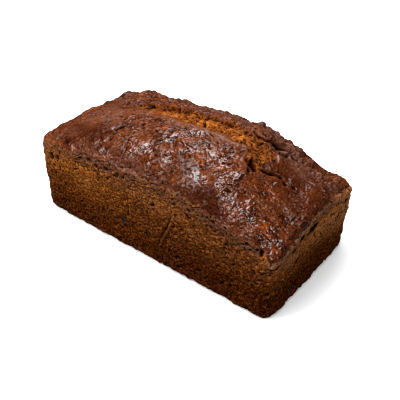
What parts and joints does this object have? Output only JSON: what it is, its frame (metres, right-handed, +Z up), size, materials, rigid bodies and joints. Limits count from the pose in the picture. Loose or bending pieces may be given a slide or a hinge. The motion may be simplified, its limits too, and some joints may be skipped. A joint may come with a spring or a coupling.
{
  "type": "date and nut loaf",
  "caption": "Uncut rectangular fruit and nut loaf cake with a domed, split and glazed crust, baked in a loaf tin; stands on its flat base as prepared food.",
  "frame": {"origin": "centre of the bounding box's underside, on the surface that the loaf stands on", "axes": "+X along the loaf, towards the end whose rim corner is lowest; +Y across it, away from the long side with the high arched rim; +Z up"},
  "size_m": [0.2066, 0.1116, 0.1015],
  "materials": {
    "loaf": "glossy dark brown baked crust on top, matte porous brown crumb on the walls"
  },
  "bodies": {
    "root": {"loaf": "loaf"}
  },
  "joints": []
}
